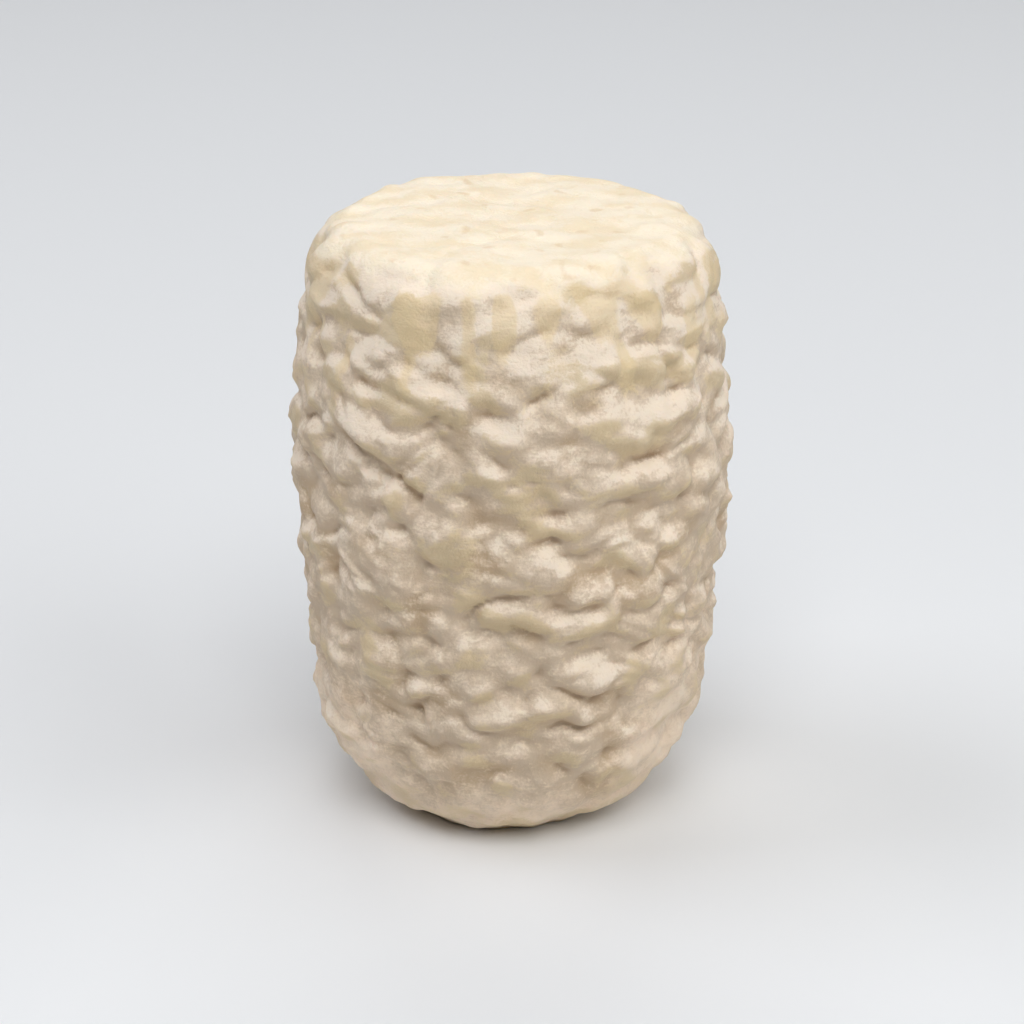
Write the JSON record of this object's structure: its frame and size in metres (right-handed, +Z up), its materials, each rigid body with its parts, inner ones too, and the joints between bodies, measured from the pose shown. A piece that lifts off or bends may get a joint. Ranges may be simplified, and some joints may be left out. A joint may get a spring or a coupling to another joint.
{
  "type": "goat cheese log",
  "caption": "Short upright barrel of ripened goat cheese with a thick wrinkled rind, a flat top and a pressed foot.",
  "frame": {"origin": "middle of the box of the cheese, at the plane of its foot", "axes": "+Z up along the cheese's own axis, -Y towards the side that shows in the picture"},
  "size_m": [0.0621, 0.0611, 0.0854],
  "materials": {
    "rind": "soft matte ripened rind: ivory top, grey-beige folds with pinkish white bloom and yellowish worn patches"
  },
  "bodies": {
    "root": {"goat_cheese_log": "rind"}
  },
  "joints": []
}
